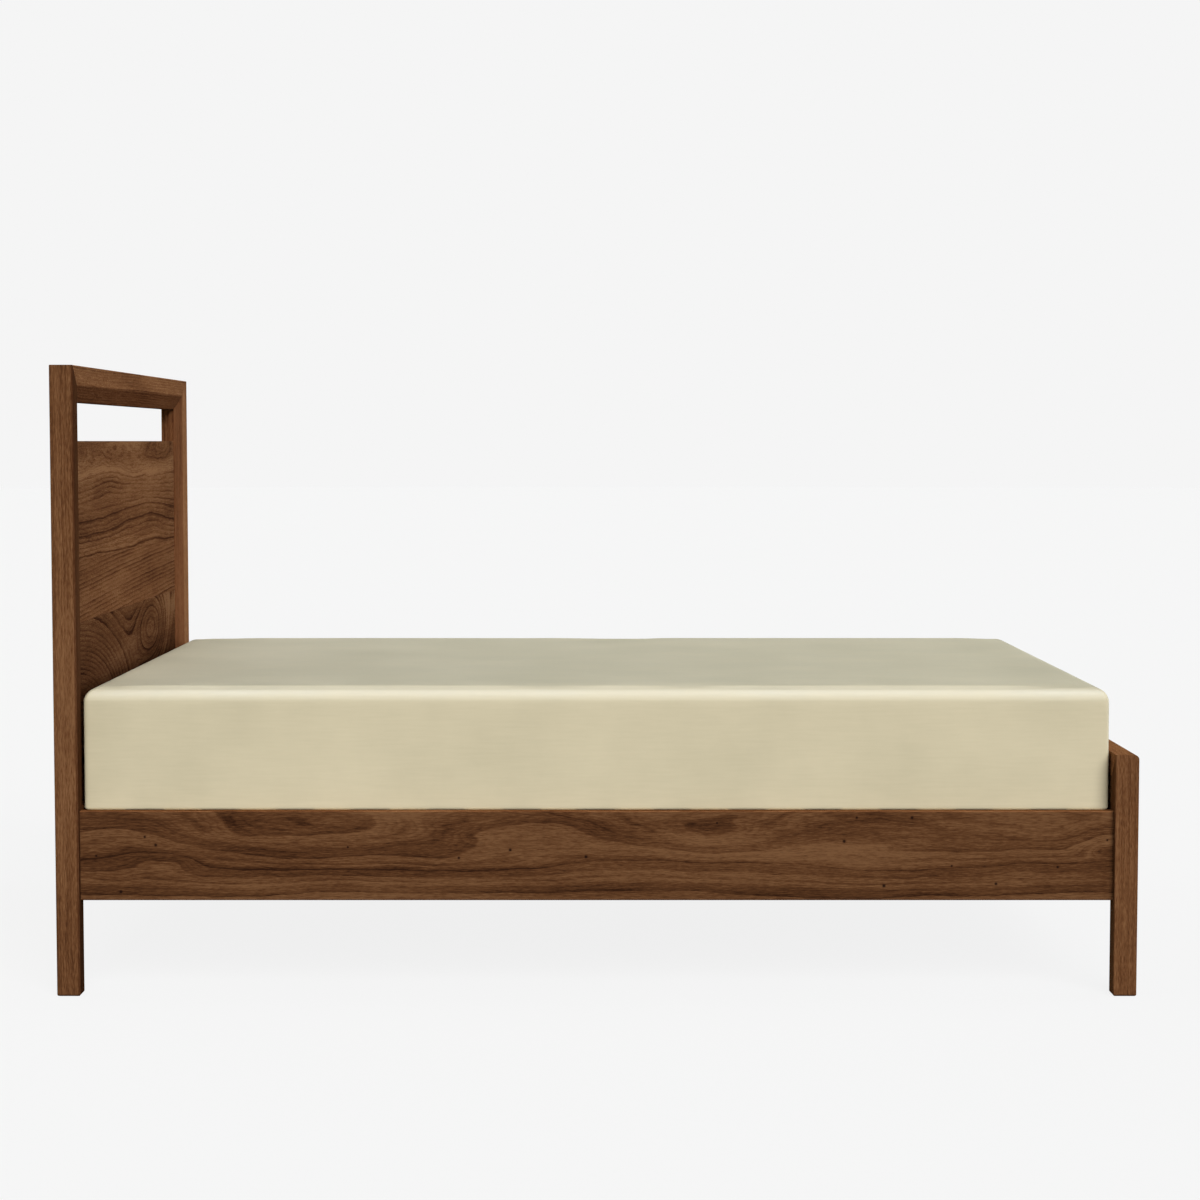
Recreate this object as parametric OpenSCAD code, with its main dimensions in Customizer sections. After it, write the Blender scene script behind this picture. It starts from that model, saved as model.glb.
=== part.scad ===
// Walnut platform bed with square straight posts: a mitred headboard frame with an open slot
// above a panel of boards, flat side rails, a low footboard, a slatted base and a mattress.
// Millimetres. Origin on the floor under the bed's middle. +X runs towards the foot, +Y across
// the bed, +Z up. "Left" is -Y: the left hand of a person at the foot who faces the head.

/* [Mattress] */
// Length of the mattress
mattress_l = 1905; // [1880:5:1920]
// Width of the mattress
mattress_w = 1372; // [1340:2:1400]
// Thickness of the mattress
mattress_t = 228; // [200:2:260]
// Thickness of the firm foam under the soft layer
base_foam_t = 150; // [120:5:160]

/* [Gaps round the mattress] */
// Gap between the mattress and each side rail
side_gap = 8; // [6:1:12]
// Gap between the mattress and the headboard frame
head_gap = 1; // [1:1:4]
// Gap between the mattress and the footboard
foot_gap = 3; // [1:1:6]

/* [Posts and legs] */
// Thickness of the posts and legs along the bed
post_t = 43.5; // [42:0.5:48]
// Width of the legs across the bed
leg_w = 44; // [42:1:50]
// Height of the headboard
head_h = 1163; // [1120:1:1220]
// Height of the footboard
foot_h = 449; // [430:1:480]
// Radius along the footboard's outer top edge
foot_edge_r = 10; // [4:1:14]
// Radius round the bottom of each leg
leg_end_r = 5; // [2:1:7]
// Radius along the long edges of posts, legs and top rails
edge_r = 2.5; // [1:0.5:4]

/* [Headboard] */
// Width of the post's front face, from its outer edge to the bevel
post_face_w = 57; // [50:1:64]
// Width of the post in the frame, with its bevel
stile_w = 105; // [96:1:112]
// Height of the frame along the top, with its bevel
head_rail_h = 66; // [60:1:72]
// How far the front face falls back towards the bevel
face_fall = 2.5; // [0.5:0.5:4]
// How far back the bevel ends
bevel_depth = 15; // [10:1:18]
// Height of the open slot over the panel
slot_h = 72.5; // [50:0.5:90]
// Heights of the three upper boards, from the top down
board_hs = [224, 116.5, 170];

/* [Side rails] */
// Height of the rails' lower edge over the floor
rail_z = 177; // [150:1:200]
// Height of a rail's face
rail_h = 166; // [150:1:180]
// Thickness of a rail
rail_t = 25; // [22:1:28]
// Radius along a rail's long edges
rail_edge_r = 2; // [1:0.5:3]
// How far a rail's face is set back from the legs' side faces
rail_setback = 15; // [8:1:15]

/* [Slatted base] */
// Width of a slat
slat_w = 70; // [60:1:80]
// Thickness of a slat
slat_t = 19; // [16:1:22]
// Depth of the slats' top face under the rails' top edge
slat_drop = 3; // [2:1:6]
// Width of the centre beam
beam_w = 44; // [38:1:60]
// Height of the centre beam
beam_h = 90; // [70:1:95]

/* [Hidden] */
$fn = 48;

// Plan of the frame
inner_x = (mattress_l + head_gap + foot_gap) / 2; // posts' faces towards the mattress
outer_x = inner_x + post_t;
rail_in_y = mattress_w / 2 + side_gap;
rail_out_y = rail_in_y + rail_t;
rail_mid_y = (rail_in_y + rail_out_y) / 2;
outer_y = rail_out_y + rail_setback;
stile_in_y = outer_y - stile_w;
leg_in_y = outer_y - leg_w;
rail_top = rail_z + rail_h;

// Headboard
head_rail_face_h = head_rail_h * post_face_w / stile_w; // meets the post's bevel on the mitre
slot_top = head_h - head_rail_h;
panel_top = slot_top - slot_h;
bevel_start = rail_top + 7; // the post is square where the side rail hooks on
panel_setback = bevel_depth + 2;
panel_t = 20;
panel_back_x = -inner_x - panel_setback - panel_t;
panel_tongue = 10; // how far a board reaches into the post's groove
tongue_room = 2; // space for the boards to swell
board_tongue_t = 10;
board_tongue_h = 8;
board_zs = [
    panel_top,
    panel_top - board_hs[0],
    panel_top - board_hs[0] - board_hs[1],
    panel_top - board_hs[0] - board_hs[1] - board_hs[2],
    rail_top
];
low_rail_t = post_t - panel_setback;

// Footboard
foot_rail_h = leg_w; // so that the mitre lies at 45 degrees
foot_panel_top = foot_h - foot_rail_h;
foot_panel_t = 26;
foot_tongue_t = 12;
foot_tongue_h = 10; // into the top rail
foot_end_tongue = 8; // into the legs, clear of the hooks
foot_tongue_x = inner_x + (foot_panel_t - foot_tongue_t) / 2;
foot_board_joint = (rail_z + foot_panel_top) / 2;

// Tenons across the bottom rails' ends
tenon_l = 24;
tenon_t = 12;
tenon_edge = 25; // shoulder over and under a tenon

// Loose tenons across the mitres: [reach to each side, width, thickness]
head_key = [18, 40, 12];
foot_key = [12, 26, 12];

// Hooks between rails and posts
plate_t = 3;
plate_w = 18;
plate_z = rail_z + 23;
plate_h = 120;
hook_zs = [plate_z + 20, plate_z + 74];
hook_h = 24;
hook_lip = 8;
hook_reach = 11;
hook_w = 3;
slot_w = 4;
hook_slot_h = hook_h + hook_lip + 2;
plate_screw_zs = [plate_z + 6, plate_z + plate_h / 2, plate_z + plate_h - 6];

// Screws: [shank radius, head radius, head height]
screw = [2, 4, 2];
plate_screw_l = 30;
ledger_screw_l = 50;
hanger_screw_l = 20;

// Slatted base
slat_count = 14; // one for each slat in NODES
slat_top = rail_top - slat_drop;
slat_z = slat_top - slat_t;
slat_end_gap = 4;
slat_l = 2 * (rail_in_y - slat_end_gap);
slat_end_x = inner_x - 9.5;
slat_pitch = (2 * slat_end_x - slat_w) / (slat_count - 1);
ledger_t = 32;
ledger_h = 38;
ledger_l = 2 * inner_x - 29;
ledger_screw_count = 8;
ledger_screw_pitch = 240;
hanger_t = 3;
hanger_w = 100;
hanger_reach = 50;
hanger_side_h = 72;
hanger_drop = 10;
hanger_screw_y = 38;
hanger_screw_zs = [slat_z - 71, slat_z - 21];
beam_head_x = -outer_x + low_rail_t + hanger_t;
beam_foot_x = inner_x - hanger_t;

// Webbing that keeps the slats apart
strap_w = 40;
strap_t = 1.6;
strap_y = 430;
staple_w = 10;
staple_wire = 1.2;
staple_leg = 8;

// Mattress
mattress_z = slat_top + 0.5;
mattress_mid_x = (head_gap - foot_gap) / 2;
cover_t = 3;
foam_inset = cover_t + 0.5;
corner_r = 55; // corners seen from above
top_edge_r = 33;
bottom_edge_r = 7;

walnut = [0.41, 0.28, 0.19];
walnut_dark = [0.30, 0.20, 0.13];
walnut_light = [0.50, 0.36, 0.25];
ash = [0.76, 0.64, 0.48];
steel = [0.62, 0.63, 0.65];
linen = [0.80, 0.77, 0.65];
foam = [0.90, 0.87, 0.74];
webbing = [0.86, 0.84, 0.78];

// ---------- shared shapes ----------

module box(low, high) {
    translate(low) cube(high - low);
}

// A shape drawn in X and Z, run along Y between two values.
module along_y(y0, y1) {
    translate([0, y1, 0]) rotate([90, 0, 0]) linear_extrude(y1 - y0) children();
}

// A shape drawn in Y and Z, run along X between two values.
module along_x(x0, x1) {
    translate([x0, 0, 0]) rotate([90, 0, 90]) linear_extrude(x1 - x0) children();
}

// The waste outside a rounded corner at the origin, where the solid lies towards +X and +Y.
module corner_waste(radius) {
    difference() {
        translate([-1, -1]) square(radius + 1);
        translate([radius, radius]) circle(radius);
    }
}

// A rectangle whose corner radii go anticlockwise from the low corner. A radius of 0 is square.
module rounded_rect(low, high, radii) {
    corners = [low, [high[0], low[1]], high, [low[0], high[1]]];
    difference() {
        translate(low) square(high - low);
        for (i = [0:3])
            if (radii[i] > 0) translate(corners[i]) rotate(90 * i) corner_waste(radii[i]);
    }
}

// A countersunk wood screw with its head flush at the origin, driven along +X.
module wood_screw(length) {
    rotate([0, 90, 0]) {
        cylinder(r = screw[0], h = length - screw[0]);
        cylinder(r1 = screw[1], r2 = screw[0], h = screw[2]);
        translate([0, 0, length - screw[0]]) cylinder(r1 = screw[0], r2 = 0.3, h = screw[0]);
    }
}

// ---------- posts, legs and top rails ----------

// A leg from the floor to a height, with its long edges and its lower end rounded.
module leg_end(x0, x1, y0, y1, top) {
    end_radii = [leg_end_r, leg_end_r, 0, 0];
    intersection() {
        along_y(y0, y1) rounded_rect([x0, 0], [x1, top], end_radii);
        along_x(x0, x1) rounded_rect([y0, 0], [y1, top], end_radii);
        linear_extrude(top) rounded_rect([x0, y0], [x1, y1], [1, 1, 1, 1] * edge_r);
    }
}

// The space of a whole end frame, with its outer upright edges rounded.
module end_frame_space(x0, x1) {
    linear_extrude(head_h) rounded_rect([x0, -outer_y], [x1, outer_y], [1, 1, 1, 1] * edge_r);
}

// The wedge above or below a mitre, which runs down and in from the top outer corner.
module mitre_wedge(top, across, down, above) {
    far = [outer_y + across, top + down];
    near = [outer_y - 1.5 * across, top - 1.5 * down];
    third = above ? [near[0], far[1]] : [far[0], near[1]];
    along_x(-outer_x - 1, outer_x + 1) polygon([near, far, third]);
}

// A loose tenon across the middle of a mitre.
module mitre_key(x, top, across, down, key) {
    translate([x, outer_y - across / 2, top - down / 2])
        rotate([atan2(down, across), 0, 0])
        translate([-key[2] / 2, -key[1] / 2, -key[0]])
        cube([key[2], key[1], 2 * key[0]]);
}

module head_key_at() {
    mitre_key(-outer_x + post_t / 2, head_h, stile_w, head_rail_h, head_key);
}

module foot_key_at() {
    mitre_key(inner_x + post_t / 2, foot_h, leg_w, foot_rail_h, foot_key);
}

// Section of the bevelled frame, from its outer edge inwards and from its front backwards.
module frame_section(full, face) {
    difference() {
        polygon([[0, 0], [face, face_fall], [full, bevel_depth], [full, post_t], [0, post_t]]);
        corner_waste(edge_r);
        translate([0, post_t]) rotate(-90) corner_waste(edge_r);
    }
}

// Turns that section so that its front looks along +X and its outer edge lies along +Y.
module facing_foot() {
    mirror([1, 1]) children();
}

module headboard_post() {
    difference() {
        union() {
            leg_end(-outer_x, -inner_x, leg_in_y, outer_y, rail_z + 1);
            translate([0, 0, rail_z]) linear_extrude(bevel_start - rail_z)
                rounded_rect([-outer_x, stile_in_y], [-inner_x, outer_y], [0, 0, edge_r, edge_r]);
            translate([-inner_x, outer_y, bevel_start]) linear_extrude(head_h - bevel_start)
                facing_foot() frame_section(stile_w, post_face_w);
        }
        mitre_wedge(head_h, stile_w, head_rail_h, true);
        panel_groove();
        bottom_rail_tenon(stile_in_y);
        head_key_at();
        catch_recess(-1, 1);
    }
}

// The groove for the boards in a post's inner side.
module panel_groove() {
    box(
        [panel_back_x, stile_in_y - 1, rail_top],
        [panel_back_x + panel_t, stile_in_y + panel_tongue + tongue_room, panel_top]
    );
}

module headboard_top_rail() {
    color(walnut_light) difference() {
        intersection() {
            along_y(-outer_y, outer_y) translate([-inner_x, head_h])
                facing_foot() frame_section(head_rail_h, head_rail_face_h);
            end_frame_space(-outer_x, -inner_x);
        }
        for (side = [0, 1]) mirror([0, side, 0]) {
            mitre_wedge(head_h, stile_w, head_rail_h, false);
            head_key_at();
        }
    }
}

module footboard_leg() {
    difference() {
        intersection() {
            leg_end(inner_x, outer_x, leg_in_y, outer_y, foot_h);
            foot_outline();
        }
        mitre_wedge(foot_h, leg_w, foot_rail_h, true);
        foot_end_tongue(rail_z, foot_panel_top, foot_end_tongue + 1);
        foot_key_at();
        catch_recess(1, 1);
    }
}

// The footboard seen from the side: square, with one rounded outer top edge.
module foot_outline() {
    along_y(-outer_y - 1, outer_y + 1)
        rounded_rect([inner_x, 0], [outer_x, foot_h], [0, 0, foot_edge_r, 0]);
}

module footboard_top_rail() {
    color(walnut_light) difference() {
        intersection() {
            box([inner_x, -outer_y, foot_panel_top], [outer_x, outer_y, foot_h]);
            foot_outline();
            end_frame_space(inner_x, outer_x);
        }
        for (side = [0, 1]) mirror([0, side, 0]) {
            mitre_wedge(foot_h, leg_w, foot_rail_h, false);
            foot_key_at();
        }
        foot_top_tongue();
    }
}

// ---------- boards ----------

// A board of the headboard, 1 at the top. The lowest one has a tongue into the bottom rail.
module headboard_board(i) {
    reach = stile_in_y + panel_tongue;
    box([panel_back_x, -reach, board_zs[i]], [panel_back_x + panel_t, reach, board_zs[i - 1]]);
    if (i == 4) board_tongue();
}

module board_tongue() {
    mid = panel_back_x + panel_t / 2;
    box(
        [mid - board_tongue_t / 2, -stile_in_y, rail_top - board_tongue_h],
        [mid + board_tongue_t / 2, stile_in_y, rail_top + 1]
    );
}

module headboard_bottom_rail() {
    color(walnut) difference() {
        union() {
            box([-outer_x, -stile_in_y, rail_z], [-outer_x + low_rail_t, stile_in_y, rail_top]);
            for (side = [0, 1]) mirror([0, side, 0]) bottom_rail_tenon(stile_in_y - 1);
        }
        board_tongue();
        hanger_screw_set(-1);
    }
}

module bottom_rail_tenon(from_y) {
    x = -outer_x + (low_rail_t - tenon_t) / 2;
    box([x, from_y, rail_z + tenon_edge], [x + tenon_t, stile_in_y + tenon_l, rail_top - tenon_edge]);
}

// A board of the footboard between two heights.
module footboard_board(z0, z1) {
    difference() {
        union() {
            box([inner_x, -leg_in_y, z0], [inner_x + foot_panel_t, leg_in_y, z1]);
            for (side = [0, 1]) mirror([0, side, 0]) foot_end_tongue(z0, z1, foot_end_tongue);
        }
        hanger_screw_set(1);
    }
}

// The tongue on a board's end, into the leg.
module foot_end_tongue(z0, z1, reach) {
    box([foot_tongue_x, leg_in_y - 1, z0], [foot_tongue_x + foot_tongue_t, leg_in_y + reach, z1]);
}

// The tongue along the top of the boards, into the top rail.
module foot_top_tongue() {
    reach = leg_in_y - foot_rail_h;
    box(
        [foot_tongue_x, -reach, foot_panel_top - 1],
        [foot_tongue_x + foot_tongue_t, reach, foot_panel_top + foot_tongue_h]
    );
}

// ---------- side rails and their hooks ----------

// Moves to the joint of a rail and a post, with +X into the post.
module at_corner(end, side) {
    mirror([end < 0 ? 1 : 0, 0, 0]) translate([inner_x, side * rail_mid_y, 0]) children();
}

module plate_blank(x0) {
    box([x0, -plate_w / 2, plate_z], [x0 + plate_t, plate_w / 2, plate_z + plate_h]);
}

// The screws of one plate, into the post or, turned, into the rail.
module plate_screw_set(turn) {
    for (z = plate_screw_zs) translate([0, 0, z]) rotate([0, 0, 180 * turn]) wood_screw(plate_screw_l);
}

module catch_plate() {
    difference() {
        plate_blank(0);
        for (z = hook_zs) box([-1, -slot_w / 2, z], [plate_t + 1, slot_w / 2, z + hook_slot_h]);
        plate_screw_set(0);
    }
}

module hook_plate() {
    difference() {
        plate_blank(-plate_t);
        plate_screw_set(1);
    }
    for (z = hook_zs) along_y(-hook_w / 2, hook_w / 2) polygon([
        [-1, z], [plate_t + 1, z], [plate_t + 1, z - hook_lip], [hook_reach, z - hook_lip],
        [hook_reach, z + hook_h - 4], [hook_reach - 4, z + hook_h], [-1, z + hook_h]
    ]);
}

// What a post gives up for a catch plate, the hooks behind it and its screws.
module catch_recess(end, side) {
    at_corner(end, side) {
        plate_blank(0);
        for (z = hook_zs) box(
            [0, -slot_w, z - hook_lip - 2],
            [hook_reach + 2, slot_w, z + hook_slot_h + 2]
        );
        plate_screw_set(0);
    }
}

module side_rail(side) {
    color(walnut) difference() {
        along_x(-inner_x, inner_x) rounded_rect(
            [side * rail_mid_y - rail_t / 2, rail_z],
            [side * rail_mid_y + rail_t / 2, rail_top],
            [1, 1, 1, 1] * rail_edge_r
        );
        for (end = [-1, 1]) at_corner(end, side) {
            plate_blank(-plate_t);
            plate_screw_set(1);
        }
        ledger_screw_set(side);
    }
}

// ---------- slatted base ----------

module ledger(side) {
    inner = rail_in_y - ledger_t;
    color(ash) difference() {
        box(
            [-ledger_l / 2, min(side * inner, side * rail_in_y), slat_z - ledger_h],
            [ledger_l / 2, max(side * inner, side * rail_in_y), slat_z]
        );
        ledger_screw_set(side);
    }
}

module ledger_screw_set(side) {
    for (i = [0:ledger_screw_count - 1])
        translate([
            (i - (ledger_screw_count - 1) / 2) * ledger_screw_pitch,
            side * (rail_in_y - ledger_t),
            slat_z - ledger_h / 2
        ]) rotate([0, 0, side * 90]) wood_screw(ledger_screw_l);
}

module centre_beam() {
    color(ash) box([beam_head_x, -beam_w / 2, slat_z - beam_h], [beam_foot_x, beam_w / 2, slat_z]);
}

// Moves to the face that a hanger is screwed to, with +X into that face.
module at_hanger(end) {
    face_x = end < 0 ? outer_x - low_rail_t : inner_x;
    mirror([end < 0 ? 1 : 0, 0, 0]) translate([face_x, 0, 0]) children();
}

module hanger_screw_set(end) {
    at_hanger(end) for (y = [-1, 1] * hanger_screw_y, z = hanger_screw_zs)
        translate([-hanger_t, y, z]) wood_screw(hanger_screw_l + hanger_t);
}

module beam_hanger(end) {
    beam_z = slat_z - beam_h;
    color(steel) difference() {
        at_hanger(end) {
            box([-hanger_t, -hanger_w / 2, beam_z - hanger_drop], [0, hanger_w / 2, slat_z - 4]);
            along_x(-hanger_reach, -hanger_t) difference() {
                translate([-beam_w / 2 - hanger_t, beam_z - hanger_t])
                    square([beam_w + 2 * hanger_t, hanger_side_h]);
                translate([-beam_w / 2, beam_z]) square([beam_w, hanger_side_h]);
            }
        }
        hanger_screw_set(end);
    }
}

// Slats are counted from the head.
module slat(i) {
    x = -slat_end_x + slat_w / 2 + (i - 1) * slat_pitch;
    color(ash) difference() {
        box([x - slat_w / 2, -slat_l / 2, slat_z], [x + slat_w / 2, slat_l / 2, slat_top]);
        for (side = [-1, 1]) translate([x, side * strap_y, slat_z - strap_t]) staple();
    }
}

module staple() {
    half = staple_w / 2;
    along_x(-staple_wire / 2, staple_wire / 2) polygon([
        [-half, -staple_wire], [half, -staple_wire], [half, staple_leg],
        [half - staple_wire, staple_leg], [half - staple_wire, 0],
        [staple_wire - half, 0], [staple_wire - half, staple_leg], [-half, staple_leg]
    ]);
}

module staple_row(side) {
    for (i = [0:slat_count - 1])
        translate([
            -slat_end_x + slat_w / 2 + i * slat_pitch, side * strap_y, slat_z - strap_t
        ]) staple();
}

module slat_strap(side) {
    color(webbing) difference() {
        box(
            [-slat_end_x, side * strap_y - strap_w / 2, slat_z - strap_t],
            [slat_end_x, side * strap_y + strap_w / 2, slat_z]
        );
        staple_row(side);
    }
}

// ---------- mattress ----------

// The mattress outline, drawn in by an inset and kept between two heights over its underside.
module mattress_form(inset, low, high) {
    x = mattress_l / 2 - inset;
    y = mattress_w / 2 - inset;
    z1 = mattress_t - inset;
    top_r = top_edge_r - inset;
    low_r = max(bottom_edge_r - inset, 1);
    corner = corner_r - inset;
    translate([mattress_mid_x, 0, mattress_z]) intersection() {
        translate([0, 0, low]) linear_extrude(high - low)
            rounded_rect([-x, -y], [x, y], [corner, corner, corner, corner]);
        along_y(-y, y) rounded_rect([-x, inset], [x, z1], [low_r, low_r, top_r, top_r]);
        along_x(-x, x) rounded_rect([-y, inset], [y, z1], [low_r, low_r, top_r, top_r]);
    }
}

module mattress_cover() {
    color(linen) difference() {
        mattress_form(0, 0, mattress_t);
        mattress_form(cover_t, cover_t, mattress_t - cover_t);
    }
}

module mattress_base_foam() {
    color(foam) mattress_form(foam_inset, foam_inset, base_foam_t);
}

module mattress_comfort_foam() {
    color(foam) mattress_form(foam_inset, base_foam_t, mattress_t - foam_inset);
}

// ---------- nodes ----------

module headboard_post_right() { color(walnut) headboard_post(); }
module headboard_post_left() { mirror([0, 1, 0]) headboard_post_right(); }
module headboard_mitre_tenons() {
    color(walnut_dark) for (side = [0, 1]) mirror([0, side, 0]) head_key_at();
}

module footboard_leg_right() { color(walnut) footboard_leg(); }
module footboard_leg_left() { mirror([0, 1, 0]) footboard_leg_right(); }
module footboard_mitre_tenons() {
    color(walnut_dark) for (side = [0, 1]) mirror([0, side, 0]) foot_key_at();
}
module footboard_board_upper() {
    color(walnut) {
        footboard_board(foot_board_joint, foot_panel_top);
        foot_top_tongue();
    }
}
module footboard_board_lower() { color(walnut) footboard_board(rail_z, foot_board_joint); }

module rail_hook_plates() {
    color(steel) for (end = [-1, 1], side = [-1, 1]) at_corner(end, side) hook_plate();
}
module post_catch_plates() {
    color(steel) for (end = [-1, 1], side = [-1, 1]) at_corner(end, side) catch_plate();
}
module rail_plate_screws() {
    color(steel) for (end = [-1, 1], side = [-1, 1], turn = [0, 1])
        at_corner(end, side) plate_screw_set(turn);
}
module ledger_screws() { color(steel) for (side = [-1, 1]) ledger_screw_set(side); }
module hanger_screws() { color(steel) for (end = [-1, 1]) hanger_screw_set(end); }
module strap_staples() { color(steel) for (side = [-1, 1]) staple_row(side); }

headboard_post_left();
headboard_post_right();
headboard_top_rail();
color(walnut) headboard_board(1);  // headboard_board_1
color(walnut_dark) headboard_board(2);  // headboard_board_2
color(walnut) headboard_board(3);  // headboard_board_3
color(walnut_dark) headboard_board(4);  // headboard_board_4
headboard_bottom_rail();
headboard_mitre_tenons();
footboard_leg_left();
footboard_leg_right();
footboard_top_rail();
footboard_board_upper();
footboard_board_lower();
footboard_mitre_tenons();
side_rail(-1);  // side_rail_left
side_rail(1);  // side_rail_right
rail_hook_plates();
post_catch_plates();
rail_plate_screws();
ledger(-1);  // ledger_left
ledger(1);  // ledger_right
ledger_screws();
centre_beam();
beam_hanger(-1);  // beam_hanger_head
beam_hanger(1);  // beam_hanger_foot
hanger_screws();
slat(1);  // slat_01
slat(2);  // slat_02
slat(3);  // slat_03
slat(4);  // slat_04
slat(5);  // slat_05
slat(6);  // slat_06
slat(7);  // slat_07
slat(8);  // slat_08
slat(9);  // slat_09
slat(10);  // slat_10
slat(11);  // slat_11
slat(12);  // slat_12
slat(13);  // slat_13
slat(14);  // slat_14
slat_strap(-1);  // slat_strap_left
slat_strap(1);  // slat_strap_right
strap_staples();
mattress_base_foam();
mattress_comfort_foam();
mattress_cover();
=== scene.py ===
"""Looks of a walnut platform bed: wood, metal and fabric, a simulated mattress, light and camera."""

import math

import bmesh
import bpy
from mathutils import Matrix, Vector, noise


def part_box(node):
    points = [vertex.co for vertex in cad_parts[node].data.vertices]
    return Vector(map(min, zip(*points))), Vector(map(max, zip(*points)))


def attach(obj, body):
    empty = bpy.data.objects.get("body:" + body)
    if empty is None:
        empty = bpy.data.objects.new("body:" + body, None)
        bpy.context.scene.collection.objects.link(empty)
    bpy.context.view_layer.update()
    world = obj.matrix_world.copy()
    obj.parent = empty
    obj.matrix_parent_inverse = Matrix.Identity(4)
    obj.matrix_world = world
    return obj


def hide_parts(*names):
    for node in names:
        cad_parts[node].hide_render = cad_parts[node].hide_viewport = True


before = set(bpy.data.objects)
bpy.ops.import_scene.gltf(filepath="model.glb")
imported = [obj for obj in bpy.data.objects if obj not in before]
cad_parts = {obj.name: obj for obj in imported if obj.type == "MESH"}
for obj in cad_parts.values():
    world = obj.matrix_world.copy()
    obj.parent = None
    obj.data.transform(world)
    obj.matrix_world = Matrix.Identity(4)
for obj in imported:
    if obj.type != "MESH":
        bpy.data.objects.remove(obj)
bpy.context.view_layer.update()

X, Y, Z = range(3)
MM = 0.001

BACKDROP = 0.913  # brightness of the dome
FLOOR_GLOW = 0.854  # light that the floor gives off, so that it looks like the dome
HEAD_POST_FACE = 57 * MM  # flat width of a head post, outside its bevel
HEAD_RAIL_FACE = 36 * MM  # flat height of the headboard's top rail, above its bevel
PAINTED_SHADE_TOP = 0.60  # height below which the third board gets a painted shadow of the mattress
RIM = 27 * MM  # width of the rounded rim of the mattress, and radius of its top edges
COVER_CORNER = 8 * MM
COVER_LOW_EDGE = 5 * MM
FOAM_CORNER = 12 * MM


# ---------------------------------------------------------------- camera, stage and light


def link(name, data):
    """A new object of that data, in the scene."""
    obj = bpy.data.objects.new(name, data)
    bpy.context.scene.collection.objects.link(obj)
    return obj


def make_camera():
    """A straight side view from above the mattress, nearly level."""
    data = bpy.data.cameras.new("camera")
    data.sensor_width = 36
    data.lens = 87.46
    data.shift_y = 0.0438
    data.clip_end = 200
    camera = link("camera", data)
    camera.location = (0.0059, -6.065, 1.0235)
    camera.rotation_euler = (math.radians(90 - 4.14), 0, 0)
    bpy.context.scene.camera = camera


def make_sun(name, azimuth, elevation, strength, angle):
    """A soft distant light. Azimuth 0 comes from the camera's side and 90 from the foot."""
    data = bpy.data.lights.new(name, "SUN")
    data.energy = strength
    data.angle = math.radians(angle)
    sun = link(name, data)
    az, el = math.radians(azimuth), math.radians(elevation)
    source = Vector((math.sin(az) * math.cos(el), -math.cos(az) * math.cos(el), math.sin(el)))
    sun.rotation_mode = "QUATERNION"
    sun.rotation_quaternion = (-source).to_track_quat("-Z", "Y")
    return sun


def make_world():
    """A pale room, brightest behind the bed."""
    world = bpy.data.worlds.new("studio")
    world.use_nodes = True
    bpy.context.scene.world = world
    graph = Graph(world.node_tree)
    direction = graph.node("ShaderNodeTexCoord").outputs["Generated"]
    behind = graph.ramp(
        graph.math("MULTIPLY_ADD", graph.axis(direction, Y), 0.5, 0.5),
        [(0.30, (0.080, 0.088, 0.080)), (0.85, (0.155, 0.190, 0.132))],
    )
    below = graph.ramp(
        graph.math("MULTIPLY_ADD", graph.axis(direction, Z), 0.5, 0.5),
        [(0.42, 0.30), (0.54, 1.0)],
    )
    background = world.node_tree.nodes["Background"]
    graph.feed(background.inputs["Color"], graph.mix(1, behind, below, "MULTIPLY"))
    background.inputs["Strength"].default_value = 1


def make_stage():
    """A pale floor, and a dome of the same brightness that only the camera sees."""
    floor_mesh = bmesh.new()
    bmesh.ops.create_circle(floor_mesh, cap_ends=True, segments=96, radius=60)
    floor = mesh_object("floor", floor_mesh)
    material = bpy.data.materials.new("floor_paper")
    material.use_nodes = True
    graph = Graph(material.node_tree)
    shader = material.node_tree.nodes["Principled BSDF"]
    grain = graph.noise(graph.coordinates(), 90, detail=3)
    paper = graph.ramp(grain, [(0, (0.067,) * 3), (1, (0.073,) * 3)])
    graph.feed(shader.inputs["Base Color"], paper)
    shader.inputs["Roughness"].default_value = 0.9
    shader.inputs["Specular IOR Level"].default_value = 0
    shader.inputs["Emission Color"].default_value = (1, 1, 1, 1)
    shader.inputs["Emission Strength"].default_value = FLOOR_GLOW
    floor.data.materials.append(material)
    floor.visible_diffuse = False
    floor.visible_glossy = False

    dome_mesh = bmesh.new()
    bmesh.ops.create_uvsphere(dome_mesh, u_segments=48, v_segments=24, radius=100)
    dome = mesh_object("backdrop", dome_mesh)
    glow = bpy.data.materials.new("backdrop_glow")
    glow.use_nodes = True
    glow.node_tree.nodes.clear()
    graph = Graph(glow.node_tree)
    emission = graph.node("ShaderNodeEmission", {"Color": (BACKDROP,) * 3 + (1,)})
    output = graph.node("ShaderNodeOutputMaterial")
    graph.feed(output.inputs["Surface"], emission.outputs["Emission"])
    dome.data.materials.append(glow)
    dome.visible_diffuse = False
    dome.visible_glossy = False
    dome.visible_transmission = False
    dome.visible_volume_scatter = False
    dome.visible_shadow = False


def mesh_object(name, mesh):
    """An object made from a bmesh, which is used up."""
    data = bpy.data.meshes.new(name)
    mesh.to_mesh(data)
    mesh.free()
    return link(name, data)


# ---------------------------------------------------------------- shader nodes


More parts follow.
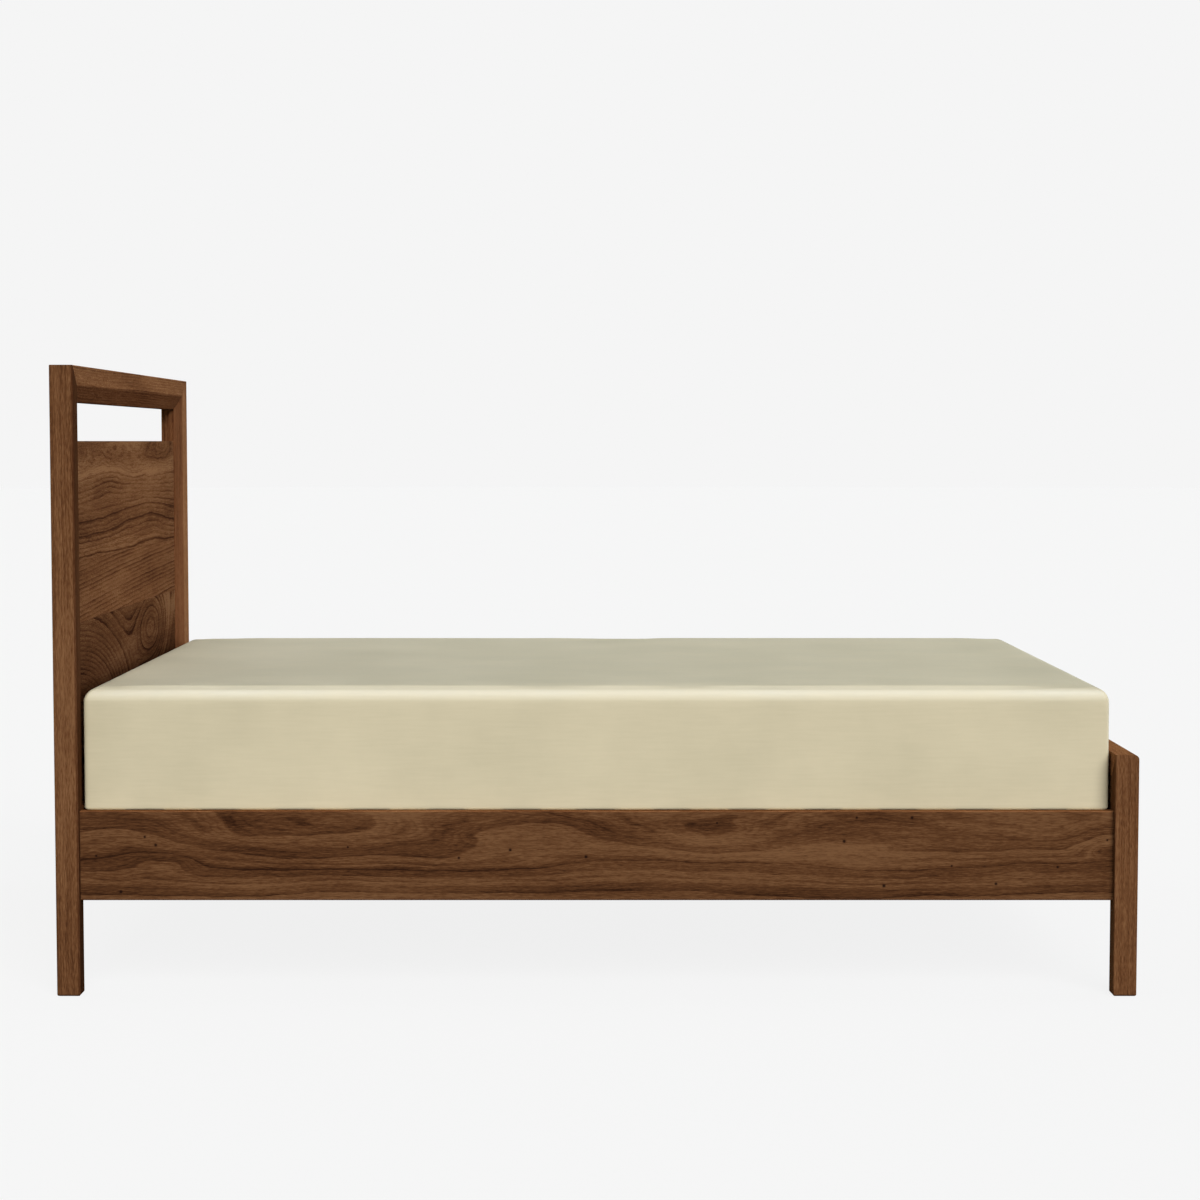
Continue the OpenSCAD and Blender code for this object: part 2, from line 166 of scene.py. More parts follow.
class Graph:
    """Shader nodes of one material. Each method adds nodes and returns their output socket."""

    def __init__(self, tree):
        self.tree = tree

    def node(self, kind, inputs=None, **settings):
        made = self.tree.nodes.new(kind)
        for key, value in settings.items():
            setattr(made, key, value)
        for key, value in (inputs or {}).items():
            self.feed(made.inputs[key], value)
        return made

    def feed(self, socket, value):
        if isinstance(value, bpy.types.NodeSocket):
            self.tree.links.new(value, socket)
        else:
            socket.default_value = value

    def coordinates(self):
        return self.node("ShaderNodeTexCoord").outputs["Object"]

    def axis(self, vector, axis):
        return self.node("ShaderNodeSeparateXYZ", {"Vector": vector}).outputs[axis]

    def math(self, operation, a, b=0.0, c=0.0, clamp=False):
        made = self.node("ShaderNodeMath", operation=operation, use_clamp=clamp)
        for socket, value in zip(made.inputs, (a, b, c)):
            self.feed(socket, value)
        return made.outputs[0]

    def total(self, values):
        result = values[0]
        for value in values[1:]:
            result = self.math("ADD", result, value)
        return result

    def vector(self, operation, a, b=(0, 0, 0)):
        made = self.node("ShaderNodeVectorMath", operation=operation)
        self.feed(made.inputs[0], a)
        self.feed(made.inputs[1], b)
        return made.outputs["Value" if operation == "LENGTH" else "Vector"]

    def noise(self, vector, scale=1.0, detail=2.0, rough=0.5):
        inputs = {"Vector": vector, "Scale": scale, "Detail": detail, "Roughness": rough}
        return self.node("ShaderNodeTexNoise", inputs).outputs["Fac"]

    def ramp(self, value, stops):
        """Stops are (place, colour or grey)."""
        made = self.node("ShaderNodeValToRGB", {"Fac": value})
        ramp = made.color_ramp
        ramp.interpolation = "LINEAR"
        while len(ramp.elements) < len(stops):
            ramp.elements.new(1)
        for element, (place, tone) in zip(ramp.elements, stops):
            element.position = place
            element.color = (*(tone if isinstance(tone, tuple) else (tone,) * 3), 1)
        return made.outputs["Color"]

    def mix(self, factor, a, b, blend="MIX"):
        made = self.node("ShaderNodeMix", data_type="RGBA", blend_type=blend)
        for socket, value in ((made.inputs[0], factor), (made.inputs[6], a), (made.inputs[7], b)):
            if isinstance(value, tuple):
                value = (*value, 1)
            self.feed(socket, value)
        return made.outputs[2]

    def remap(self, value, low, high, to_low, to_high):
        inputs = {1: low, 2: high, 3: to_low, 4: to_high, 0: value}
        return self.node("ShaderNodeMapRange", inputs).outputs[0]

    def hill(self, point, centre, radii):
        """1 at the centre, falling smoothly to 0. A radius of None means any distance."""
        scale = tuple(0 if r is None else 1 / r for r in radii)
        offset = self.vector("MULTIPLY", self.vector("SUBTRACT", point, centre), scale)
        length = self.vector("LENGTH", offset)
        square = self.math("MULTIPLY", length, length)
        return self.math("EXPONENT", self.math("MULTIPLY", square, -1))

    def band(self, value, centre, width):
        """1 where the value is at the centre, falling smoothly to 0."""
        off = self.math("MULTIPLY", self.math("SUBTRACT", value, centre), 1 / width)
        return self.math("EXPONENT", self.math("MULTIPLY", self.math("MULTIPLY", off, off), -1))

    def bump(self, height, distance, strength=1.0):
        inputs = {"Height": height, "Distance": distance, "Strength": strength}
        return self.node("ShaderNodeBump", inputs).outputs["Normal"]


def new_material(name, roughness, specular):
    """A material, its graph and its shader, with the shader's constant gloss set."""
    material = bpy.data.materials.new(name)
    material.use_nodes = True
    shader = material.node_tree.nodes["Principled BSDF"]
    shader.inputs["Roughness"].default_value = roughness
    shader.inputs["Specular IOR Level"].default_value = specular
    return material, Graph(material.node_tree), shader


def grain_vector(graph, point, grain, along, across, shift):
    """Noise coordinates that change slowly along the grain and fast across it."""
    scale = tuple(along if axis == grain else across for axis in range(3))
    return graph.vector("ADD", graph.vector("MULTIPLY", point, scale), shift)


# ---------------------------------------------------------------- walnut


WALNUT = {
    "pale": (0.176, 0.0840, 0.0370),
    "mid": (0.102, 0.0417, 0.0166),
    "dark": (0.030, 0.0110, 0.0050),
}


def walnut(name, grain, pith, spacing, seed, wander=(1.5, 9, 0.012), contrast=1.0, light=1.0,
           depth=0.26, tilt=0.0, figure=1.0, zones=0.0, fine=1.0, hills=(), pins=(), veins=(),
           shade=None, tint=(0.50, 0.42, 0.40)):
    """Walnut whose growth rings run round a pith line along the grain axis.

    pith: the point (x, y, z) that the pith passes through; its grain coordinate is unused
    spacing: metres between rings
    wander: cycles per metre along and across the grain, and metres that rings move
    contrast: of the rings' dark lines
    light: brightness of the whole piece, as painted light that makes up for how little studio light
    reaches it
    depth: share of the darker tones in the plain wood
    tilt: how far the rings climb for each metre of grain
    figure: contrast of the slow changes of tone
    zones: contrast of soft, wide bands of tone that follow the rings
    fine: contrast of the thin lines between the rings
    hills: (x, y, z), (radii) and the rings that each adds, for loops and eyes
    pins: (x, y, z) and radius of small dark knots
    veins: ring number, width in rings and darkness (or paleness, below 0) of single rings
    shade: a function of the graph and the point that gives the share of the tint, 0 to 1, where
    painted shade or a painted highlight goes
    tint: what the colour is multiplied by where the shade is 1; below 1 it paints shade, above 1 a
    highlight
    """
    material, graph, shader = new_material(name, 0.6, 0)
    point = graph.coordinates()
    shift = (seed * 3.7, seed * 1.9, seed * 5.3)
    flat = tuple(0 if axis == grain else 1 for axis in range(3))
    from_pith = graph.vector("MULTIPLY", graph.vector("SUBTRACT", point, pith), flat)
    distance = graph.vector("LENGTH", from_pith)
    slow = graph.noise(grain_vector(graph, point, grain, wander[0], wander[1], shift), detail=3)
    quick = graph.noise(grain_vector(graph, point, grain, 14, 90, shift), detail=3)
    rings = graph.total([
        graph.math("MULTIPLY", distance, 1 / spacing),
        graph.math("MULTIPLY", graph.math("SUBTRACT", slow, 0.5), 2 * wander[2] / spacing),
        graph.math("MULTIPLY", graph.math("SUBTRACT", quick, 0.5), 0.45),
        graph.math("MULTIPLY", graph.axis(point, grain), tilt / spacing),
        *[graph.math("MULTIPLY", graph.hill(point, centre, radii), height)
          for centre, radii, height in hills],
    ])

    phase = graph.math("FRACT", rings)
    late = graph.ramp(
        phase, [(0, 0.6), (0.09, 0.12), (0.35, 0.10), (0.72, 0.50), (0.93, 1.0), (1, 0.75)])
    within = graph.math("FRACT", graph.math("MULTIPLY", rings, 3.7))
    minor = graph.ramp(within, [(0, 0.5), (0.15, 0), (0.6, 0.3), (0.9, 1), (1, 0.6)])
    whole = graph.node("ShaderNodeTexWhiteNoise", {"W": graph.math("FLOOR", rings)},
                       noise_dimensions="1D").outputs["Value"]
    strength = graph.math("MULTIPLY_ADD", whole, 0.75, 0.35)
    patchy = graph.noise(grain_vector(graph, point, grain, 3, 22, shift), detail=2)
    strength = graph.math("MULTIPLY", strength, graph.remap(patchy, 0.35, 0.65, 0.4, 1.2))
    line = graph.math("MULTIPLY", late, strength)

    zone = graph.math("SINE", graph.math("MULTIPLY", rings, 2 * math.pi / 3.1))
    streak = graph.noise(grain_vector(graph, point, grain, 14, 300, shift), detail=4, rough=0.6)
    fibre = graph.noise(grain_vector(graph, point, grain, 80, 900, shift), detail=2, rough=0.6)
    broad = graph.noise(grain_vector(graph, point, grain, 1.7, 14, shift), detail=3)
    dark_share = graph.total([
        graph.math("MULTIPLY", line, 0.55 * contrast),
        graph.math("MULTIPLY", graph.math("MULTIPLY", minor, patchy), 0.34 * fine * contrast),
        graph.math("MULTIPLY", zone, 0.20 * zones),
        graph.math("MULTIPLY", graph.math("SUBTRACT", streak, 0.5), 0.65),
        graph.math("MULTIPLY", graph.math("SUBTRACT", fibre, 0.5), 1.3),
        graph.math("MULTIPLY", graph.math("SUBTRACT", broad, 0.5), 1.3 * figure),
        *[graph.math("MULTIPLY", graph.band(rings, number, width), dark)
          for number, width, dark in veins],
        depth,
    ])
    pores = graph.ramp(
        graph.noise(grain_vector(graph, point, grain, 70, 1500, shift), detail=1),
        [(0.60, 0), (0.70, 1)],
    )
    knots = [graph.math("MULTIPLY", graph.hill(point, centre, (radius,) * 3), 1.8, clamp=True)
             for centre, radius in pins]
    marks = graph.total([graph.math("MULTIPLY", pores, 0.35), *knots])
    wood = graph.ramp(
        graph.math("ADD", dark_share, 0, clamp=True),
        [
            (0.0, tuple(light * c for c in WALNUT["pale"])),
            (0.45, tuple(light * c for c in WALNUT["mid"])),
            (1.0, tuple(light * c for c in WALNUT["dark"])),
        ],
    )
    if shade:
        wood = graph.mix(shade(graph, point), wood, tint, "MULTIPLY")
    colour = graph.mix(graph.math("MULTIPLY", marks, 0.9, clamp=True), wood, (0.010, 0.004, 0.003))
    graph.feed(shader.inputs["Base Color"], colour)
    rough = graph.remap(graph.math("ADD", streak, line), 0.3, 1.4, 0.48, 0.64)
    graph.feed(shader.inputs["Roughness"], rough)
    relief = graph.math("SUBTRACT", graph.math("MULTIPLY", fibre, 0.4), graph.total([pores, *knots]))
    graph.feed(shader.inputs["Normal"], graph.bump(relief, 0.15 * MM, 0.5))
    return material


def dress(node, material):
    """Gives a CAD node its material."""
    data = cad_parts[node].data
    data.materials.clear()
    data.materials.append(material)


def ease_edges(node, width, angle=35):
    """Rounds a CAD node's remaining sharp edges a little, as sanding does."""
    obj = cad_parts[node]
    weld = obj.modifiers.new("weld", "WELD")
    weld.merge_threshold = 0.01 * MM
    bevel = obj.modifiers.new("eased_edges", "BEVEL")
    bevel.width = width
    bevel.segments = 2
    bevel.limit_method = "ANGLE"
    bevel.angle_limit = math.radians(angle)
    bevel.harden_normals = True


def middle(node):
    low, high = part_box(node)
    return (low + high) / 2


def beside(node, dx=0.0, dy=0.0, dz=0.0):
    """A point at an offset from the middle of a CAD node."""
    return tuple(middle(node) + Vector((dx, dy, dz)))


def painted_bevel_shade(axis, edge, face=None):
    """Painted shade: the frame's bevels are a deeper tone, standing in for the shade they lie in.

    edge: the distance from the middle below which the bevel starts
    face: x of a foot-facing face that gets painted shade too
    """
    def shade(graph, point):
        place = graph.axis(point, axis)
        if axis == Y:
            place = graph.math("ABSOLUTE", place)
        # painted shade on the bevel
        bevel = graph.remap(place, edge - 1.5 * MM, edge + 1.5 * MM, 0.9, 0)
        if face is None:
            return bevel
        # painted shade on the foot-facing face
        painted_face_shade = graph.remap(graph.axis(point, X), face - 4 * MM, face - 3 * MM, 0, 0.85)
        return graph.math("MAXIMUM", bevel, painted_face_shade)
    return shade


def dress_frame():
    """Posts, rails and boards of walnut."""
    _, post_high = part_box("headboard_post_right")
    _, rail_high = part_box("headboard_top_rail")
    post_bevel = post_high.y - HEAD_POST_FACE
    rail_bevel = rail_high.z - HEAD_RAIL_FACE
    # Painted light: each light factor sets a piece's brightness to stand in for the studio light on
    # it, so the right post is almost twice as bright as the left
    head_posts = {
        "left": {"contrast": 0.8, "light": 1.09, "depth": 0.22,
                 "shade": painted_bevel_shade(Y, post_bevel, post_high.x)},
        "right": {"contrast": 1.6, "light": 1.95, "depth": 0.05,
                  "shade": painted_bevel_shade(Y, post_bevel)},
    }
    for seed, side in enumerate(("left", "right")):
        sign = -1 if side == "left" else 1
        post, leg = f"headboard_post_{side}", f"footboard_leg_{side}"
        dress(post, walnut(
            f"walnut_head_post_{side}", Z, beside(post, 0.03, sign * -0.15), 3.6 * MM,
            seed + 1, wander=(0.7, 10, 0.004), figure=0.5, **head_posts[side]))
        # The legs' light factor is painted light too
        dress(leg, walnut(
            f"walnut_foot_leg_{side}", Z, beside(leg, -0.05, sign * -0.12), 3.8 * MM,
            seed + 3, wander=(0.8, 10, 0.004), contrast=0.8, light=1.15, figure=0.5))
        dress(f"side_rail_{side}", side_rail_walnut(side, seed + 5))
    # The top rails' light factors are painted light, and the head rail's bevel gets painted shade
    dress("headboard_top_rail", walnut(
        "walnut_head_top_rail", Y, beside("headboard_top_rail", -0.1, 0, -0.05), 3.4 * MM, 8,
        wander=(1.2, 12, 0.005), light=1.85, figure=0.6, shade=painted_bevel_shade(Z, rail_bevel)))
    dress("footboard_top_rail", walnut(
        "walnut_foot_top_rail", Y, beside("footboard_top_rail", 0.1, 0, -0.06), 3.2 * MM, 9,
        wander=(1.2, 12, 0.005), contrast=0.7, light=1.9, figure=0.6))
    bottom_pith = beside("headboard_bottom_rail", -0.08, 0, 0.05)
    dress("headboard_bottom_rail", walnut(
        "walnut_head_bottom_rail", Y, bottom_pith, 9 * MM, 10))
    dress("headboard_board_1", panel_walnut_1())
    dress("headboard_board_2", panel_walnut_2())
    dress("headboard_board_3", panel_walnut_3())
    plain = ("headboard_board_4", "footboard_board_upper", "footboard_board_lower")
    for seed, node in enumerate(plain):
        dress(node, walnut(
            "walnut_" + node, Y, beside(node, -0.07, 0, -0.04), 10 * MM, 14 + seed,
            wander=(1.6, 9, 0.014)))
    for node in ("headboard_board_1", "headboard_board_2", "headboard_board_3", *plain):
        ease_edges(node, 0.7 * MM)


def side_rail_walnut(side, seed):
    """Flat-sawn figure: close lines along the lower edge, wide loops above, scattered pin knots."""
    rail = f"side_rail_{side}"
    low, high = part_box(rail)
    outer = low.y if side == "left" else high.y
    inward = 1 if side == "left" else -1
    pith = (0, outer + inward * 0.11, high.z - 0.01)

    def spot(x, z):
        return (x, outer, z)

    pins = [
        (-0.925, 0.260), (-0.835, 0.295), (-0.815, 0.280), (-0.880, 0.193), (-0.460, 0.276),
        (-0.255, 0.256), (-0.160, 0.271), (-0.020, 0.258), (0.222, 0.321), (0.480, 0.331),
        (0.582, 0.331), (0.457, 0.287), (0.656, 0.241), (0.852, 0.239), (0.738, 0.208),
        (0.531, 0.204), (0.943, 0.289),
    ]
    loops = [
        (-0.12, 0.300, 0.140, 0.040, 2.7),
        (-0.86, 0.290, 0.110, 0.050, 1.8),
        (-0.80, 0.243, 0.070, 0.022, 1.3),
        (-0.55, 0.305, 0.200, 0.055, -2.6),
        (0.22, 0.290, 0.090, 0.030, -1.5),
        (0.52, 0.310, 0.160, 0.045, 1.4),
        (0.95, 0.285, 0.060, 0.032, 2.0),
    ]
    return walnut(
        f"walnut_side_rail_{side}", X, pith, 9 * MM, seed,
        # Painted light: the light factor sets the rail's brightness, and the tint above 1 paints a
        # highlight along its upper edge
        wander=(2.2, 8, 0.024), contrast=0.85, light=0.88,
        zones=0.75, fine=1.1, figure=0.8, shade=painted_top_highlight(high.z), tint=(1.6, 1.5, 1.4),
        hills=[(spot(x, z), (rx, None, rz), height) for x, z, rx, rz, height in loops],
        pins=[(spot(x, z), (1.6 + 0.3 * (i % 4)) * MM) for i, (x, z) in enumerate(pins)])


def painted_top_highlight(top):
    """Painted highlight: the upper edge of a side rail is a paler tone, standing in for the light that
    it catches.
    """
    def shade(graph, point):
        return graph.remap(graph.axis(point, Z), top - 2 * MM, top - 1 * MM, 0, 1)
    return shade


def painted_lower_shade(level):
    """Painted shadow: a board that deepens in tone below a level, standing in for the mattress's
    shadow beside it.
    """
    def shade(graph, point):
        return graph.remap(graph.axis(point, Z), level - 0.05, level + 0.06, 0.62, 0)
    return shade


def panel_face_x():
    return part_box("headboard_board_1")[1].x


def panel_walnut_1():
    """Calm, wavy grain with a few dark ripples."""
    face = panel_face_x()
    _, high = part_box("headboard_board_1")
    return walnut(
        "walnut_panel_1", Y, (face - 0.09, 0, high.z - 0.02), 7.5 * MM, 11, wander=(2.0, 9, 0.013),
        # The light factor is painted light
        light=1.40, figure=0.8, fine=1.5,
        hills=[
            ((face, 0.42, 1.065), (None, 0.16, 0.06), -1.4),
            ((face, 0.20, 0.870), (None, 0.35, 0.05), 2.6),
            ((face, -0.25, 0.930), (None, 0.22, 0.03), 1.6),
            ((face, 0.05, 0.960), (None, 0.12, 0.02), -0.8),
        ],
        veins=[(13.2, 0.7, -0.35), (21.5, 0.2, 0.5), (24.5, 0.2, 0.6), (29.0, 0.25, 0.5)])


def panel_walnut_2():
    """Close, straight grain that climbs to the far side."""
    face = panel_face_x()
    return walnut(
        "walnut_panel_2", Y, (face - 0.02, 0, 0.30), 8.5 * MM, 12, wander=(1.1, 7, 0.007),
        # The light factor is painted light
        contrast=1.15, light=1.44, figure=0.6, fine=1.6, tilt=-0.033)


def panel_walnut_3():
    """A cathedral figure beside an oval eye."""
    face = panel_face_x()
    low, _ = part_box("headboard_board_3")
    return walnut(
        "walnut_panel_3", Y, (face - 0.3, 0, low.z), 26 * MM, 13, wander=(1.5, 8, 0.012),
        # Painted light and shadow: the light factor sets the board's brightness, and its lower part
        # gets a painted shadow of the mattress
        contrast=1.5, light=1.06, fine=0.8, shade=painted_lower_shade(PAINTED_SHADE_TOP),
        veins=[(14.5, 1.2, -0.30)],
        hills=[
            ((face, -0.66, low.z - 0.02), (None, 0.60, 0.17), 26),
            ((face, 0.28, 0.622), (None, 0.20, 0.075), 9.0),
        ])


# ---------------------------------------------------------------- hidden parts


def base_wood(name, grain, seed):
    """Pale, planed ash."""
    material, graph, shader = new_material(name, 0.6, 0.3)
    point = graph.coordinates()
    shift = (seed * 2.3, seed * 4.1, seed * 1.7)
    slow = graph.noise(grain_vector(graph, point, grain, 1.2, 10, shift), detail=3)
    across = graph.noise(grain_vector(graph, point, grain, 0.6, 26, shift), detail=1)
    rings = graph.math("MULTIPLY_ADD", slow, 9, graph.math("MULTIPLY", across, 5))
    phase = graph.math("FRACT", rings)
    late = graph.ramp(phase, [(0, 0.3), (0.1, 0), (0.7, 0.3), (0.93, 1), (1, 0.4)])
    fibre = graph.noise(grain_vector(graph, point, grain, 30, 1100, shift), detail=3, rough=0.6)
    shade = graph.total([
        graph.math("MULTIPLY", late, 0.45),
        graph.math("MULTIPLY", fibre, 0.5),
    ])
    graph.feed(shader.inputs["Base Color"], graph.ramp(
        shade, [(0.1, (0.66, 0.50, 0.32)), (0.45, (0.56, 0.40, 0.24)), (0.9, (0.38, 0.25, 0.14))]))
    graph.feed(shader.inputs["Roughness"], graph.remap(fibre, 0.3, 0.7, 0.5, 0.68))
    graph.feed(shader.inputs["Normal"], graph.bump(fibre, 0.12 * MM, 0.5))
    return material


def brushed_steel():
    material, graph, shader = new_material("brushed_zinc_steel", 0.38, 0.5)
    shader.inputs["Metallic"].default_value = 1
    point = graph.coordinates()
    brush = graph.noise(graph.vector("MULTIPLY", point, (60, 60, 3200)), detail=3)
    cloud = graph.noise(point, 35, detail=3)
    graph.feed(shader.inputs["Base Color"], graph.ramp(
        graph.math("MULTIPLY_ADD", brush, 0.5, graph.math("MULTIPLY", cloud, 0.5)),
        [(0.3, (0.46, 0.47, 0.48)), (0.7, (0.62, 0.62, 0.63))]))
    graph.feed(shader.inputs["Roughness"], graph.remap(brush, 0.3, 0.7, 0.30, 0.46))
    graph.feed(shader.inputs["Normal"], graph.bump(brush, 0.02 * MM, 0.4))
    return material


def weave(graph, point, pitch):
    """Crossing threads on every face: a sine along each axis, and the thread's height."""
    turns = graph.vector("MULTIPLY", point, (2 * math.pi / pitch,) * 3)
    waves = [graph.math("SINE", graph.axis(turns, axis)) for axis in (X, Y, Z)]
    return graph.math("MULTIPLY_ADD", graph.total(waves), 1 / 6, 0.5)


def webbing():
    """Flat woven cotton strap."""
    material, graph, shader = new_material("cotton_webbing", 0.85, 0.2)
    point = graph.coordinates()
    threads = weave(graph, point, 1.6 * MM)
    cloud = graph.noise(point, 60, detail=3)
    shade = graph.math("MULTIPLY_ADD", cloud, 0.4, graph.math("MULTIPLY", threads, 0.6))
    graph.feed(shader.inputs["Base Color"], graph.ramp(
        shade, [(0.25, (0.42, 0.38, 0.29)), (0.75, (0.66, 0.62, 0.50))]))
    graph.feed(shader.inputs["Normal"], graph.bump(threads, 0.3 * MM, 0.8))
    shader.inputs["Sheen Weight"].default_value = 0.2
    return material


def foam():
    """Open-cell foam, hidden in the cover."""
    material, graph, shader = new_material("mattress_foam", 0.95, 0.1)
    point = graph.coordinates()
    cells = graph.node("ShaderNodeTexVoronoi", {"Vector": point, "Scale": 900}).outputs["Distance"]
    cloud = graph.noise(point, 12, detail=3)
    graph.feed(shader.inputs["Base Color"], graph.mix(
        cloud, (0.80, 0.72, 0.48), (0.88, 0.82, 0.62)))
    graph.feed(shader.inputs["Normal"], graph.bump(cells, 0.4 * MM, 0.7))
    return material


def mattress_fabric():
    """Fine, slightly lustrous knit, with faint soft clouds."""
    material, graph, shader = new_material("mattress_fabric", 0.55, 0.5)
    point = graph.coordinates()
    threads = weave(graph, point, 1.1 * MM)
    rows = graph.noise(graph.vector("MULTIPLY", point, (16, 220, 220)), detail=3)
    cloud = graph.noise(point, 5, detail=4, rough=0.6)
    shade = graph.total([
        graph.math("MULTIPLY", cloud, 0.65),
        graph.math("MULTIPLY", rows, 0.22),
        graph.math("MULTIPLY", threads, 0.13),
    ])
    graph.feed(shader.inputs["Base Color"], graph.ramp(
        shade, [(0.30, (0.458, 0.402, 0.262)), (0.70, (0.550, 0.480, 0.320))]))
    graph.feed(shader.inputs["Roughness"], graph.remap(cloud, 0.3, 0.7, 0.58, 0.68))
    height = graph.math("MULTIPLY_ADD", rows, 0.5, threads)
    graph.feed(shader.inputs["Normal"], graph.bump(height, 0.12 * MM, 0.5))
    shader.inputs["Sheen Weight"].default_value = 0.03
    shader.inputs["Sheen Roughness"].default_value = 0.4
    return material


def dress_base():
    """Slats, ledgers, beam, tenons, straps and metal."""
    slats = sorted(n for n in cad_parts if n.startswith(("slat_0", "slat_1")))
    for seed, node in enumerate(slats):
        dress(node, base_wood("ash_" + node, Y, seed + 1))
        ease_edges(node, 1.2 * MM)
    for seed, node in enumerate(("ledger_left", "ledger_right", "centre_beam")):
        dress(node, base_wood("ash_" + node, X, seed + 21))
        ease_edges(node, 0.8 * MM)
    for node in ("headboard_mitre_tenons", "footboard_mitre_tenons"):
        dress(node, base_wood("ash_" + node, Y, 31))
    steel = brushed_steel()
    for node in ("rail_hook_plates", "post_catch_plates", "rail_plate_screws", "ledger_screws",
                 "beam_hanger_head", "beam_hanger_foot", "hanger_screws", "strap_staples"):
        dress(node, steel)
    strap = webbing()
    for node in ("slat_strap_left", "slat_strap_right"):
        dress(node, strap)


# ---------------------------------------------------------------- mattress


def spread(half, radius, fine, coarse):
    """Places from -half to half: close steps inside the rounding, wider steps between."""
    inner = half - radius
    steps = max(1, round(2 * inner / coarse))
    edge = [inner + radius * (i + 1) / fine for i in range(fine)]
    between = [-inner + 2 * inner * i / steps for i in range(steps + 1)]
    return [-e for e in reversed(edge)] + between + edge


def rounded(point, half, margin, corner, top_radius, low_radius):
    """Moves a point on a box's surface onto a box with rounded corners and edges.

    margin: width of the rim that the roundings may use
    corner: radius of the upright corners
    """
    foot = [max(-(half[i] - margin), min(half[i] - margin, point[i])) for i in (X, Y)]
    out = [(point[i] - foot[i]) / margin for i in (X, Y)]
    reach = max(map(abs, out))
    if reach < 1e-9:
        return Vector(point)
    inset, z = margin * (1 - reach), point[2]
    radius = top_radius if z > 0 else low_radius
    side, rise = (radius - inset) / radius, (abs(z) - half[2] + radius) / radius
    if side > 0 and rise > 0:
        scale = max(side, rise) / math.hypot(side, rise)
        inset = radius * (1 - side * scale)
        z = math.copysign(half[2] - radius + radius * rise * scale, z)
    scale = (margin - inset) / margin
    place = [abs(o) / reach * margin - (margin - corner) for o in out]
    if min(place) > 0:
        length = math.hypot(*place)
        place = [corner * p / length for p in place]
    ring = [math.copysign(scale * (margin - corner + p), o) for p, o in zip(place, out)]
    return Vector((foot[X] + ring[X], foot[Y] + ring[Y], z))


def mattress_mesh(half, margin, corner, top_radius, low_radius):
    """A closed quad mesh of the mattress, centred on the origin."""
    places = [spread(half[X], margin, 6, 0.028), spread(half[Y], margin, 6, 0.028),
              spread(half[Z], top_radius, 5, 0.020)]
    places[Z][1:1] = [-half[Z] + low_radius * 0.5, -half[Z] + low_radius]
    mesh = bmesh.new()
    for fixed in range(3):
        a, b = [axis for axis in range(3) if axis != fixed]
        for end in (-1, 1):
            rows = []
            for u in places[a]:
                row = []
                for v in places[b]:
                    point = [0, 0, 0]
                    point[fixed], point[a], point[b] = end * half[fixed], u, v
                    place = rounded(point, half, margin, corner, top_radius, low_radius)
                    row.append(mesh.verts.new(place))
                rows.append(row)
            for i in range(len(rows) - 1):
                for j in range(len(rows[0]) - 1):
                    mesh.faces.new((rows[i][j], rows[i + 1][j], rows[i + 1][j + 1], rows[i][j + 1]))
    bmesh.ops.remove_doubles(mesh, verts=mesh.verts, dist=0.05 * MM)
    bmesh.ops.recalc_face_normals(mesh, faces=mesh.faces)
    return mesh


def blown_up(obj):
    """Where cloth simulation under pressure moves each point of the cover, in 20 frames."""
    cloth = obj.modifiers.new("cloth", "CLOTH")
    cloth.settings.use_pressure = True
    cloth.settings.uniform_pressure_force = 4
    cloth.settings.effector_weights.gravity = 0
    cloth.point_cache.frame_start = 1
    cloth.point_cache.frame_end = 20
    for number in range(1, 21):
        bpy.context.scene.frame_set(number)
    swollen = obj.evaluated_get(bpy.context.evaluated_depsgraph_get())
    places = [v.co.copy() for v in swollen.to_mesh().vertices]
    swollen.to_mesh_clear()
    obj.modifiers.remove(cloth)
    bpy.context.scene.frame_set(1)
    return places


def swell(obj, side_cap, crown_cap):
    """Swells the cover outwards: its sides by at most side_cap, and its top by at most crown_cap."""
    moves = []
    for vertex, place in zip(obj.data.vertices, blown_up(obj)):
        upward = vertex.normal.z
        cap = side_cap + (crown_cap - side_cap) * max(0, upward) ** 2
        if upward < -0.3:
            cap = 0
        moves.append(vertex.normal * max(0, min(cap, vertex.normal.dot(place - vertex.co))))
    for vertex, move in zip(obj.data.vertices, moves):
        vertex.co += move


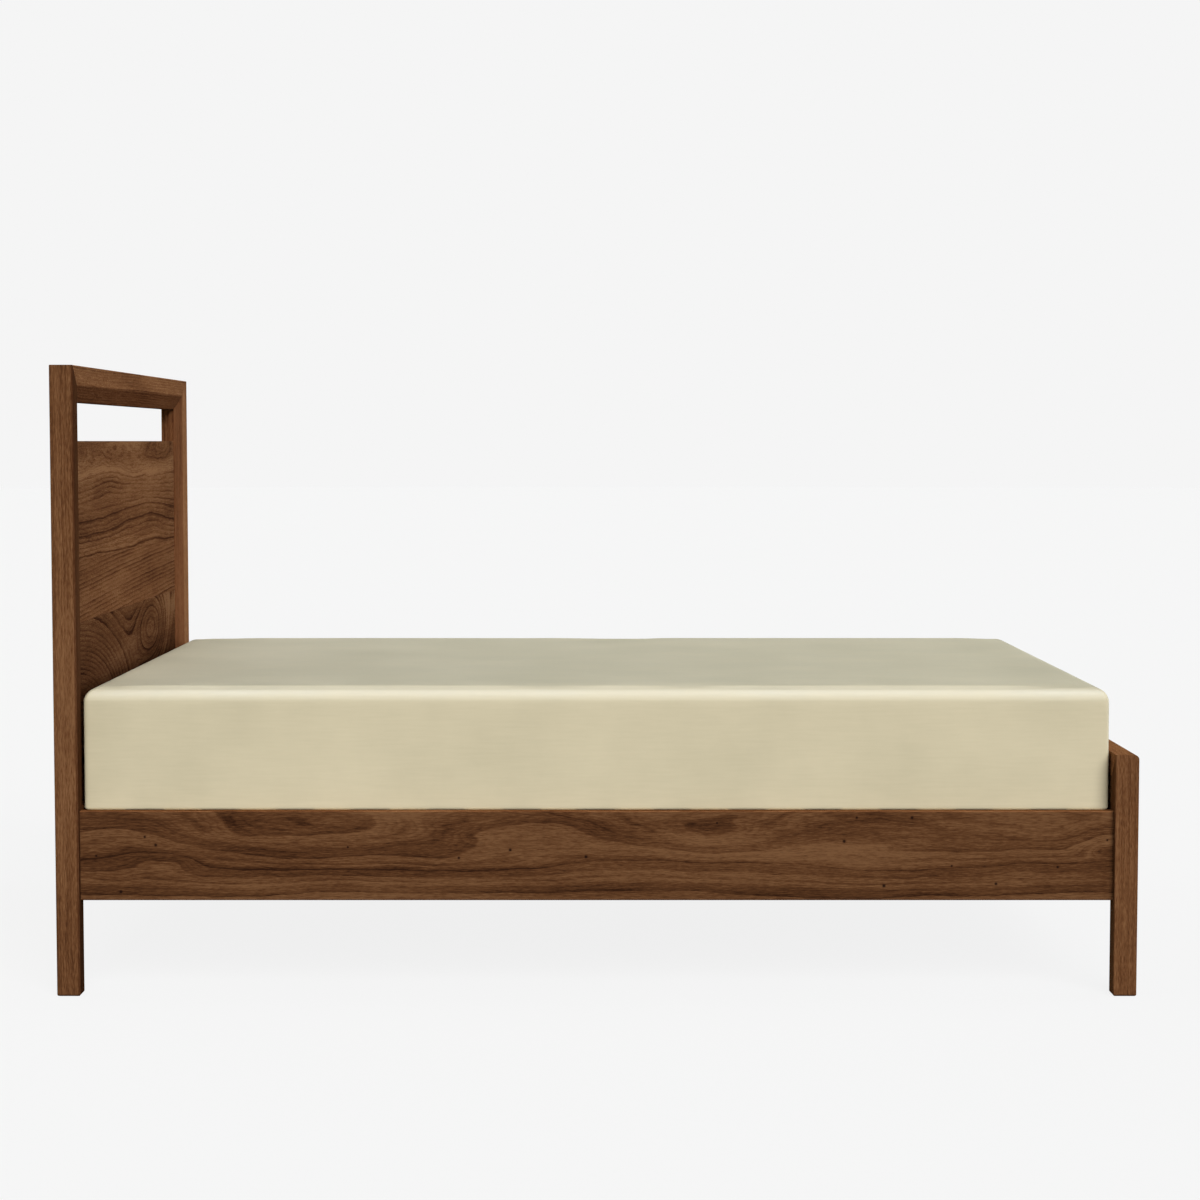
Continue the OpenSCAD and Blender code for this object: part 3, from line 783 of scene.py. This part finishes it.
def make_mattress():
    """The mattress cover: a soft rounded box, swollen by simulation, faintly rumpled."""
    low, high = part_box("mattress_cover")
    size = high - low
    shrink = 0.8 * MM
    half = [size.x / 2 - shrink, size.y / 2 - shrink, (size.z - shrink) / 2]
    shell = mattress_mesh(half, RIM, COVER_CORNER, RIM, COVER_LOW_EDGE)
    cover = mesh_object("mattress", shell)
    swell(cover, shrink - 0.1 * MM, 4 * MM)
    for vertex in cover.data.vertices:
        if vertex.co.z > -0.9 * half[Z]:
            rumple = noise.noise(vertex.co * 4 + Vector((7, 3, 1))) + 0.5 * noise.noise(vertex.co * 11)
            vertex.co -= vertex.normal * 0.2 * MM * (1 + rumple)
    cover.data.transform(Matrix.Translation((0, 0, -shrink / 2)))
    place_soft(cover, "mattress_cover", mattress_fabric())


def make_foams():
    """The two foam layers in the cover."""
    padding = foam()
    layers = (("comfort_foam", RIM, 1 * MM), ("base_foam", 1 * MM, 4 * MM))
    for name, top_radius, low_radius in layers:
        low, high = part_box("mattress_" + name)
        half = (high - low) / 2
        shell = mattress_mesh(half, RIM, FOAM_CORNER, top_radius, low_radius)
        block = mesh_object(name, shell)
        place_soft(block, "mattress_" + name, padding)


def place_soft(piece, node, material):
    """Puts a centred piece where its CAD node is, and lets it stand for that node."""
    low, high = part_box(node)
    piece.data.transform(Matrix.Translation((low + high) / 2))
    piece.data.shade_smooth()
    smooth = piece.modifiers.new("smooth", "SUBSURF")
    smooth.levels = smooth.render_levels = 1
    piece.data.materials.append(material)
    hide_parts(node)
    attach(piece, "mattress")


# ---------------------------------------------------------------- scene


make_camera()
make_stage()
make_world()
make_sun("key", 14, 30, 3.95, 40)
make_sun("foot_fill", 104, 4, 2.05, 50).data.color = (0.93, 1.04, 1.25)
make_sun("back_fill", 200, 3, 1.3, 60).visible_glossy = False
make_sun("head_fill", 262, 4, 1.5, 60)
overhead = make_sun("overhead_gloss", 0, 78, 10, 50)
overhead.visible_diffuse = False
overhead.data.color = (0.75, 0.85, 1.0)
dress_frame()
dress_base()
make_mattress()
make_foams()
bpy.context.scene.view_settings.view_transform = "Standard"
